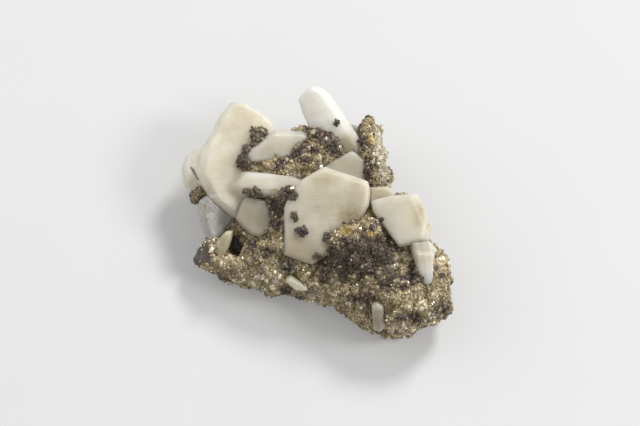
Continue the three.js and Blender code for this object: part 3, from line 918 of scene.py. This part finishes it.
def crust_colour(nodes, light):
    """The crust's colour for a tone number from its darkest, 0, to its lightest, 1, with painted shade in
    hollows.
    """
    # Painted shade: the tone is darkened in the hollows between lumps
    shade = nodes.ramp(nodes.number("hollow"), 0.0, 1.0, start=1.0, end=HOLLOW_SHADE)
    light = nodes.math("MULTIPLY", light, shade)
    light = nodes.math("ADD", light, nodes.math("MULTIPLY", nodes.number("bright"), BRIGHT_LIFT))
    gold = nodes.mix(nodes.ramp(light, 0.0, 0.5), GOLD_DEEP, GOLD)
    gold = nodes.mix(nodes.ramp(nodes.noise(4.5), 0.5, 0.75, end=OLIVE_SHARE), gold, OLIVE)
    gold = nodes.mix(nodes.ramp(light, 0.58, 0.95), gold, GOLD_LIGHT)
    purple = nodes.mix(nodes.ramp(light, 0.0, 0.55), PURPLE_DEEP, PURPLE)
    purple = nodes.mix(nodes.ramp(nodes.noise(6), 0.48, 0.68, end=DARK_OLIVE_SHARE), purple, DARK_OLIVE)
    purple = nodes.mix(nodes.ramp(light, 0.65, 1.0), purple, PURPLE_LIGHT)
    quartz = nodes.mix(nodes.ramp(light, 0.1, 0.7), QUARTZ_DEEP, QUARTZ)
    colour = nodes.mix(nodes.number("dark"), gold, purple)
    colour = nodes.mix(nodes.number("pale"), colour, quartz)
    stained = nodes.math("MULTIPLY", nodes.number("stain"), STAIN_SHARE)
    return nodes.mix(stained, colour, STAIN)


def rock_material():
    """The rock between and under the grains."""
    nodes = Nodes("crusted rock")
    light = nodes.ramp(nodes.noise(0.9, detail=4), 0.35, 0.7)
    # Painted shade: the rock is darker in the pits between its knobs
    light = nodes.math("MULTIPLY", light, nodes.ramp(nodes.number("pit"), 0.2, 0.9, start=0.8, end=0.1))
    colour = crust_colour(nodes, light)
    scratch = nodes.ramp(nodes.noise(0.5, detail=5), 0.6, 0.72)
    # Slate with pale scratches, which also paints shade as a dark sheet in the hollow beside the left blade
    slate = nodes.mix(scratch, SLATE, SLATE_SCRATCH)
    nodes.put(nodes.mix(nodes.number("slate"), colour, slate), nodes.shader.inputs["Base Color"])
    nodes.put(nodes.ramp(nodes.noise(1.2), 0.3, 0.7, start=0.55, end=0.9), nodes.shader.inputs["Roughness"])
    nodes.bump(nodes.noise(0.3, detail=4), strength=0.8, distance=0.15)
    return nodes.material


def grain_material():
    """Brassy sulphide grains with small bright faces."""
    nodes = Nodes(GRAIN_LOOK)
    light = nodes.ramp(nodes.number("tint"), 0.0, 1.0, start=-0.05, end=1.05)
    fine = nodes.ramp(nodes.noise(0.35), 0.3, 0.7, start=-0.15, end=0.15)
    rough = nodes.ramp(nodes.number("tint"), 0.0, 1.0, start=0.55, end=0.22)
    nodes.put(crust_colour(nodes, nodes.math("ADD", light, fine)), nodes.shader.inputs["Base Color"])
    nodes.put(rough, nodes.shader.inputs["Roughness"])
    nodes.shader.inputs["Metallic"].default_value = GRAIN_METAL
    nodes.bump(nodes.noise(0.2, detail=2), strength=0.35, distance=0.04)
    return nodes.material


def ball_material():
    """Dark luzonite balls with a rough skin of tiny crystal tips."""
    nodes = Nodes(BALL_LOOK)
    light = nodes.ramp(nodes.number("tint"), 0.0, 1.0, start=0.15, end=0.8)
    fine = nodes.ramp(nodes.noise(0.3), 0.3, 0.7, start=-0.3, end=0.3)
    nodes.put(crust_colour(nodes, nodes.math("ADD", light, fine)), nodes.shader.inputs["Base Color"])
    nodes.put(nodes.ramp(nodes.noise(0.4), 0.3, 0.7, start=0.4, end=0.7), nodes.shader.inputs["Roughness"])
    nodes.bump(nodes.cells(0.28), strength=0.7, distance=0.08)
    return nodes.material


def barite_material(name, light, deep, transmission, roughness, milkiness):
    """Barite with faint clouds and growth lines, painted shade and painted light, and ochre and dirty places.
    """
    nodes = Nodes(name)
    cloud = nodes.ramp(nodes.noise(5, detail=4), 0.35, 0.65, end=CLOUD_SHARE)
    lines = nodes.ramp(nodes.growth_lines(0.8, length=6), 0.35, 0.7, end=GROWTH_LINE_SHARE)
    # The deep places add painted shade to the clouds and growth lines
    share = nodes.math("ADD", nodes.math("ADD", cloud, lines), nodes.number("deep"))
    blotches = nodes.ramp(nodes.noise(0.9, detail=4), 0.35, 0.6)
    colour = nodes.mix(share, light, deep)
    # Painted light and painted highlights at the white places
    colour = nodes.mix(nodes.number("white"), colour, WHITE)
    colour = nodes.mix(nodes.math("MULTIPLY", nodes.number("ochre"), blotches), colour, OCHRE)
    colour = nodes.mix(nodes.number("dirt"), colour, DIRT)
    rough = nodes.ramp(nodes.noise(2.5, detail=4), 0.3, 0.7, start=roughness - 0.08, end=roughness + 0.14)
    relief = nodes.math("ADD", nodes.noise(1.4, detail=5), nodes.growth_lines(0.6, length=5))
    nodes.put(colour, nodes.shader.inputs["Base Color"])
    nodes.put(rough, nodes.shader.inputs["Roughness"])
    nodes.shader.inputs["Specular IOR Level"].default_value = BARITE_SHINE
    nodes.shader.inputs["IOR"].default_value = BARITE_IOR
    nodes.shader.inputs["Transmission Weight"].default_value = transmission
    nodes.shader.inputs["Subsurface Weight"].default_value = milkiness
    nodes.shader.inputs["Subsurface Radius"].default_value = MILK_RADIUS
    nodes.shader.inputs["Subsurface Scale"].default_value = MILK_DEPTH * MM
    nodes.bump(relief, strength=0.3, distance=0.05)
    return nodes.material


def crystal_numbers(name, vertices):
    """How deep (painted shade), white (painted light), ochre and dirty a crystal is at each of its points."""
    numbers = {
        "deep": soft_strength(vertices, PAINTED_SHADE_PLACES.get(name, ())),
        "white": soft_strength(vertices, PAINTED_LIGHT_PLACES.get(name, ())),
        "ochre": soft_strength(vertices, OCHRE_PLACES.get(name, ())),
        "dirt": np.zeros(len(vertices)),
    }
    if name in DIRTY_PLACES:
        fine = smooth_noise(vertices, DIRT_FINE_SPACING, seed=81)
        coarse = smooth_noise(vertices, DIRT_COARSE_SPACING, seed=83)
        specks = soft_grade(fine + DIRT_COARSE_STRENGTH * coarse, *DIRT_RANGE)
        numbers["dirt"] = specks * soft_strength(vertices, DIRTY_PLACES[name])
    if name == CRACK_NODE:
        numbers["dirt"] = np.clip(CRACK_REACH - crack_distance(vertices) / CRACK_WIDTH, 0, 1)
    return numbers


def layer_steps(vertices, normals):
    """The steps between a tabular crystal's layers, from -0.5 to 0.5, which show on its sides alone."""
    middle = vertices.mean(axis=0)
    _, axes = np.linalg.eigh(np.cov((vertices - middle).T))
    bend = LAYER_BEND * smooth_noise(vertices, LAYER_BEND_SPACING, seed=91)
    layer = np.floor((vertices - middle) @ axes[:, 0] / (LAYER_THICKNESS * MM) + bend)
    steps = lattice_number(np.column_stack((layer, layer, layer)), seed=93) - 0.5
    return steps * np.clip((LAYER_SIDE_START - np.abs(normals @ axes[:, 0])) / LAYER_SIDE_SPAN, 0, 1)


def make_crystals():
    """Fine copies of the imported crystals, a little larger so that no seam shows where they grew together."""
    looks = {name: barite_material(name, *numbers) for name, numbers in BARITE_LOOKS.items()}
    for name in CRYSTAL_NODES:
        grooved = name == GROOVED_NODE
        rounds = SOFT_ROUNDS.get(name, PLAIN_ROUNDS)
        swell = GROOVE_SWELL if grooved else 0.0
        mesh = fine_copy(name.removeprefix(CRYSTAL_PREFIX), [name], CRYSTAL_MESH, rounds, swell)
        vertices, normals, _ = mesh_arrays(mesh)
        height = smooth_noise(vertices, TERRACE_SPACING, seed=61)
        terrace = np.floor(height * TERRACE_STEPS) / TERRACE_STEPS - 0.5
        wave = smooth_noise(vertices, CRYSTAL_WAVE_SPACING, seed=63) - 0.5
        rise = CRYSTAL_GROWTH + TERRACE_RELIEF * terrace * (not grooved) + CRYSTAL_WAVE * wave
        rise += LAYER_RELIEF * layer_steps(vertices, normals)
        numbers = crystal_numbers(name, vertices)
        rise -= CRACK_DEPTH * numbers["dirt"] * (name == CRACK_NODE)
        set_points(mesh, inside_box(vertices + normals * rise[:, None] * MM))
        add_numbers(mesh, numbers)
        look = NODE_LOOKS.get(name, PLAIN_LOOK)
        piece = add_piece(mesh.name, mesh, looks[look])
        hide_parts(name)


def open_surface(places, normals):
    """1 where no crystal covers the surface and it isn't the underside, otherwise 0."""
    above = places[:, 2] > LOWEST_SCATTERED * MM
    bare = np.array([not covered(place, normal) for place, normal in zip(places, normals)])
    return (above & bare).astype(float)


def grain_chance(places, normals):
    """How likely a brassy grain is kept at each place."""
    masks = crust_masks(places, normals)
    share = math.prod(1 - lost * masks[name] for name, lost in GRAINS_LOST.items())
    return share * open_surface(places, normals)


def ball_chance(places, normals):
    """How likely a dark ball is kept at each place."""
    masks = crust_masks(places, normals)
    share = np.clip(masks["dark"] + STRAY_BALLS, 0, 1) * (1 - masks["slate"])
    return share * open_surface(places, normals)


def make_crust():
    """The fine rock and the grains scattered on it. The grains' materials are found by their names later."""
    grain_material()
    ball_material()
    rock = crusted(fine_copy("crusted_rock", [ROCK_NODE], ROCK_MESH))
    piece = add_piece("crusted_rock", rock, rock_material())
    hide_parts(ROCK_NODE)
    for name, spacing, seed in SCATTERED_GRAINS:
        chance = grain_chance if GRAINS[name].look == GRAIN_LOOK else ball_chance
        grain_pieces(name, *scattered(rock, spacing, seed, chance))


def view_hit(right, up):
    """The place and normal of the first surface that the photograph shows there, or None."""
    start = (MIDDLE + right * RIGHT + up * UP + VIEW_START * TOWARDS) * MM
    place, normal, _, _ = everything.ray_cast(Vector(start), Vector(-TOWARDS))
    return None if place is None else (np.array(place), np.array(normal))


def make_creeping_grains():
    """Grains of the crust that lie over the crystals' edges where the two meet."""
    random = np.random.default_rng(606)
    vertices, _, triangles = mesh_arrays(bpy.data.objects["crusted_rock"].data)
    rock = BVHTree.FromPolygons(vertices.tolist(), triangles.tolist())
    places, normals = [], []
    for name in CRYSTAL_NODES:
        points, outward, _ = mesh_arrays(bpy.data.objects[name.removeprefix(CRYSTAL_PREFIX)].data)
        tried = np.flatnonzero(random.random(len(points)) < CREEP_SHARE)
        tried = tried[smooth_noise(points[tried], CREEP_PATCH, seed=95) > CREEP_START]
        for index in tried:
            near, away, _, _ = rock.find_nearest(Vector(points[index]), CREEP_REACH * MM)
            if near is not None and (Vector(points[index]) - near).dot(away) > 0:
                places.append(points[index])
                normals.append(outward[index])
    places, normals = spaced(np.array(places), np.array(normals), CREEP_SPACING)
    above = places[:, 2] > LOWEST_ADDED * MM
    places, normals = places[above], normals[above]
    brassy = random.random(len(places)) < BRASSY_CREEPING
    grain_pieces("creeping_grains", places[brassy], normals[brassy])
    grain_pieces("creeping_balls", places[~brassy], normals[~brassy])


def make_ball_heaps():
    """Small heaps of balls across the crystals, two balls deep at their middles."""
    random = np.random.default_rng(505)
    hits = []
    for middle_right, middle_up, half_width, half_height in BALL_HEAPS:
        count = round(math.pi * half_width * half_height / HEAP_BALL_SPACING**2)
        for _ in range(2 * count):
            turn, reach = random.uniform(0, 2 * math.pi), math.sqrt(random.random())
            right = middle_right + half_width * reach * math.cos(turn)
            up = middle_up + half_height * reach * math.sin(turn)
            hit = view_hit(right, up)
            if hit and hit[0][2] > LOWEST_ADDED * MM:
                raised = TOWARDS * HEAP_HEIGHT * MM * (1 - reach**2) * random.random()
                hits.append((hit[0] + raised, hit[1]))
    grain_pieces("heap_balls", *(np.array(column) for column in zip(*hits)))


def make_clumps():
    """The clumps of balls that sit on the crystals."""
    clumps = crusted(fine_copy("ball_clumps", CLUMP_NODES, CLUMP_MESH), CLUMP_DARKNESS)
    piece = add_piece("ball_clumps", clumps, bpy.data.materials[BALL_LOOK])
    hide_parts(*CLUMP_NODES)
    grain_pieces("clump_balls", *scattered(clumps, CLUMP_BALL_SPACING, 404, open_surface))


def add_camera():
    """A long lens at the photograph's angle and framing."""
    data = bpy.data.cameras.new("camera")
    data.lens = LENS
    data.sensor_width = SENSOR
    camera = bpy.data.objects.new("camera", data)
    bpy.context.scene.collection.objects.link(camera)
    distance = VIEW_WIDTH * LENS / SENSOR + VIEW_DEPTH
    position = MIDDLE * MM + TOWARDS * distance
    turn = Matrix(np.column_stack((RIGHT, UP, TOWARDS)).tolist()).to_4x4()
    camera.matrix_world = Matrix.Translation(Vector(position)) @ turn
    bpy.context.scene.camera = camera


def add_floor():
    """A plain pale floor."""
    nodes = Nodes("pale floor")
    shade = nodes.ramp(nodes.noise(60, detail=2), 0.3, 0.7)
    nodes.put(nodes.mix(shade, *FLOOR_SHADES), nodes.shader.inputs["Base Color"])
    nodes.shader.inputs["Roughness"].default_value = 0.9
    nodes.shader.inputs["Specular IOR Level"].default_value = 0.1
    nodes.shader.inputs["Emission Color"].default_value = (1, 1, 1, 1)
    nodes.shader.inputs["Emission Strength"].default_value = FLOOR_GLOW
    reach = FLOOR_REACH
    corners = [(-reach, -reach, 0), (reach, -reach, 0), (reach, reach, 0), (-reach, reach, 0)]
    mesh = bpy.data.meshes.new("floor")
    mesh.from_pydata(corners, [], [(0, 1, 2, 3)])
    mesh.materials.append(nodes.material)
    floor = bpy.data.objects.new("floor", mesh)
    bpy.context.scene.collection.objects.link(floor)


def add_light(name, direction, distance, size, power):
    """A soft round light that faces the specimen."""
    data = bpy.data.lights.new(name, "AREA")
    data.shape = "DISK"
    data.size = size
    data.energy = power
    light = bpy.data.objects.new(name, data)
    bpy.context.scene.collection.objects.link(light)
    towards = Vector(direction).normalized()
    turn = towards.to_track_quat("Z", "Y").to_matrix().to_4x4()
    light.matrix_world = Matrix.Translation(towards * distance) @ turn


def add_studio():
    """White surroundings, soft lights from the right and the upper right, and a weak one from the left."""
    world = bpy.data.worlds.new("studio")
    bpy.context.scene.world = world
    world.use_nodes = True
    background = world.node_tree.nodes["Background"]
    background.inputs["Color"].default_value = (1, 1, 1, 1)
    background.inputs["Strength"].default_value = WORLD_LIGHT
    for name, placing in LIGHTS.items():
        add_light(name, *placing)
    bpy.context.scene.view_settings.view_transform = "Standard"


add_camera()
add_floor()
add_studio()
make_crystals()
make_crust()
make_clumps()
make_creeping_grains()
make_ball_heaps()
